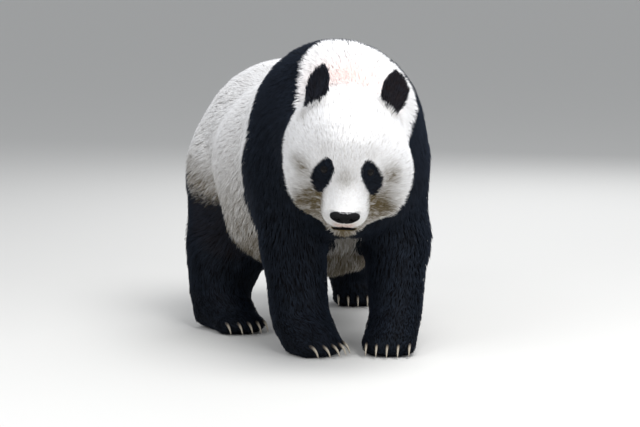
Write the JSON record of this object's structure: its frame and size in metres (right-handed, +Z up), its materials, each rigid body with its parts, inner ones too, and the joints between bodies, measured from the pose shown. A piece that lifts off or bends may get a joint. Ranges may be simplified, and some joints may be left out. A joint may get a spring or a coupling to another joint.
{
  "type": "giant panda",
  "caption": "Life-size standing giant panda on all fours, head lowered and turned slightly aside, one front leg and one hind leg forward, with thick black and white fur and short claws.",
  "frame": {"origin": "on the floor, under the middle of the animal's box", "axes": "+Z up, the panda faces -Y, +X to the panda's left"},
  "size_m": [0.667, 1.3626, 0.8175],
  "materials": {
    "white_fur": "matte long fur",
    "black_fur": "soft sheen fur",
    "nose_leather": "moist pebbled",
    "eye": "wet gloss",
    "claw": "satin horn"
  },
  "bodies": {
    "root": {"front_left_claw_1": "claw", "front_left_claw_2": "claw", "front_left_claw_3": "claw", "front_left_claw_4": "claw", "front_left_claw_5": "claw", "front_left_lower_leg": "black_fur", "front_left_paw": "black_fur", "front_left_upper_leg": "black_fur", "front_right_claw_1": "claw", "front_right_claw_2": "claw", "front_right_claw_3": "claw", "front_right_claw_4": "claw", "front_right_claw_5": "claw", "front_right_lower_leg": "black_fur", "front_right_paw": "black_fur", "front_right_upper_leg": "black_fur", "head": "white_fur", "hind_left_claw_1": "claw", "hind_left_claw_2": "claw", "hind_left_claw_3": "claw", "hind_left_claw_4": "claw", "hind_left_claw_5": "claw", "hind_left_lower_leg": "black_fur", "hind_left_paw": "black_fur", "hind_left_upper_leg": "black_fur", "hind_right_claw_1": "claw", "hind_right_claw_2": "claw", "hind_right_claw_3": "claw", "hind_right_claw_4": "claw", "hind_right_claw_5": "claw", "hind_right_lower_leg": "black_fur", "hind_right_paw": "black_fur", "hind_right_upper_leg": "black_fur", "left_ear": "black_fur", "left_eye": "eye", "left_eye_patch": "black_fur", "neck": "white_fur", "nose": "nose_leather", "right_ear": "black_fur", "right_eye": "eye", "right_eye_patch": "black_fur", "shoulders": "black_fur", "tail": "white_fur", "trunk": "white_fur"}
  },
  "joints": []
}
